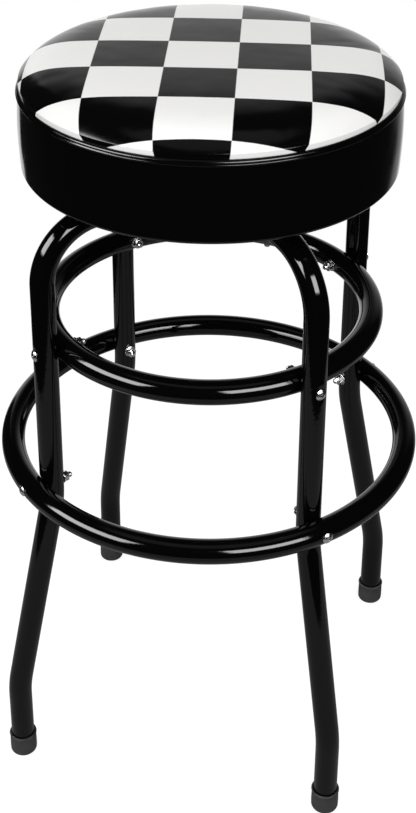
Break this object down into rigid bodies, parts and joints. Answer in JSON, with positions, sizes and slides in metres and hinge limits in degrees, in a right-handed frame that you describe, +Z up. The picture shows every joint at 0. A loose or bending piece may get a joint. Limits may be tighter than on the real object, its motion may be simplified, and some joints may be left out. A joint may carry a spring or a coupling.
{
  "type": "swivel stool",
  "caption": "Backless swivel stool: round padded seat with a chequered top on a ball-race swivel, bent tube legs and foot rings.",
  "frame": {"origin": "on the floor, under the middle of the seat", "axes": "+Z up; the legs stand on the diagonals between X and Y; -Y is the front"},
  "size_m": [0.4526, 0.4526, 0.7867],
  "materials": {
    "black_gloss_paint": "gloss black baked enamel on steel tube",
    "swivel_paint": "semi-gloss black enamel on stamped steel",
    "zinc_plate": "bright zinc plate",
    "bearing_steel": "polished, lightly greased",
    "black_rubber": "matt moulded rubber",
    "black_plastic": "matt moulded plastic",
    "plywood": "raw plywood",
    "dust_cloth": "black non-woven cloth",
    "foam": "open-cell upholstery foam",
    "black_vinyl": "gloss black vinyl",
    "chequered_vinyl": "gloss vinyl in black and white squares"
  },
  "bodies": {
    "base": {"leg_back_right": "black_gloss_paint", "foot_tip_back_right": "black_rubber", "arm_plug_back_right": "black_plastic", "leg_back_left": "black_gloss_paint", "foot_tip_back_left": "black_rubber", "arm_plug_back_left": "black_plastic", "leg_front_left": "black_gloss_paint", "foot_tip_front_left": "black_rubber", "arm_plug_front_left": "black_plastic", "leg_front_right": "black_gloss_paint", "foot_tip_front_right": "black_rubber", "arm_plug_front_right": "black_plastic", "upper_ring": "black_gloss_paint", "lower_ring": "black_gloss_paint", "upper_ring_screws": "zinc_plate", "upper_ring_washers": "zinc_plate", "upper_ring_nuts": "zinc_plate", "lower_ring_screws": "zinc_plate", "lower_ring_washers": "zinc_plate", "lower_ring_nuts": "zinc_plate", "arm_screws": "zinc_plate", "arm_washers": "zinc_plate", "arm_nuts": "zinc_plate", "swivel_lower_plate": "swivel_paint"},
    "ball_cage": {"swivel_ball_cage": "zinc_plate", "swivel_balls": "bearing_steel"},
    "seat": {"swivel_upper_plate": "swivel_paint", "swivel_eyelet": "zinc_plate", "seat_screws": "zinc_plate", "seat_blind_nuts": "zinc_plate", "seat_board": "plywood", "seat_dust_cover": "dust_cloth", "seat_foam": "foam", "seat_side_band": "black_vinyl", "seat_welt": "black_vinyl", "seat_top_cover": "chequered_vinyl"}
  },
  "joints": [
    {"name": "seat_swivel", "type": "hinge", "parent": "base", "child": "seat", "pos_m": [0, 0, 0.667], "axis": [0, 0, 1], "continuous": true},
    {"name": "cage_roll", "type": "hinge", "parent": "base", "child": "ball_cage", "pos_m": [0, 0, 0.667], "axis": [0, 0, 1], "continuous": true}
  ],
  "couplings": [
    {"joint": "cage_roll", "follows": "seat_swivel", "ratio": 0.5}
  ]
}
